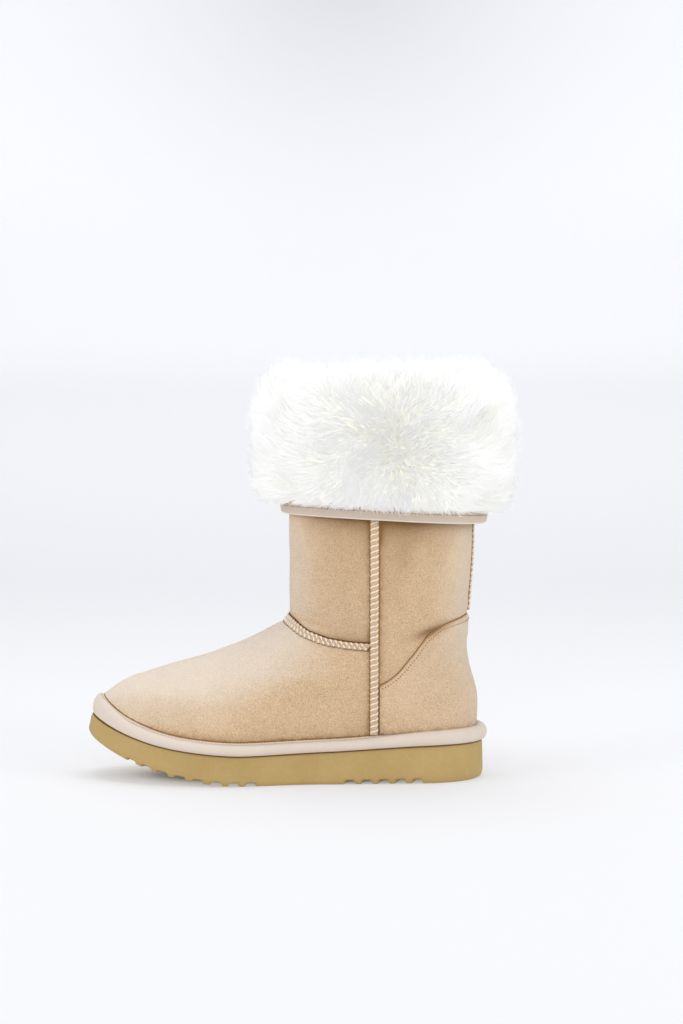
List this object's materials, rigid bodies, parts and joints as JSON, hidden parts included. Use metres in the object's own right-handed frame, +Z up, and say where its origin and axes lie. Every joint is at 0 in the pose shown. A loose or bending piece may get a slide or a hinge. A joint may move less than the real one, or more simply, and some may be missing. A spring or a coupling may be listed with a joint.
{
  "type": "sheepskin boot",
  "caption": "Suede sheepskin boot for the left foot, with a deep turned-down fleece cuff, raised seams, a padded welt and a thick unit sole with a grooved tread.",
  "frame": {"origin": "on the ground under the middle of the heel, 27 mm ahead of the sole's back edge", "axes": "+X towards the toe, +Y towards the outer side of the left foot, +Z up the shaft"},
  "size_m": [0.2989, 0.179, 0.2827],
  "materials": {
    "foam_rubber": "matte foam rubber",
    "lining_fleece": "soft short pile",
    "binding_leather": "fine satin",
    "suede": "matte nap",
    "seam_thread": "matte overstitched",
    "cuff_fleece": "long soft pile"
  },
  "bodies": {
    "root": {"outsole": "foam_rubber", "insole": "lining_fleece", "sole_welt": "binding_leather", "upper": "suede", "heel_counter": "suede", "side_seam_outer": "seam_thread", "side_seam_inner": "seam_thread", "instep_seam": "seam_thread", "back_seam": "seam_thread", "fleece_cuff": "cuff_fleece", "cuff_binding": "binding_leather"}
  },
  "joints": []
}
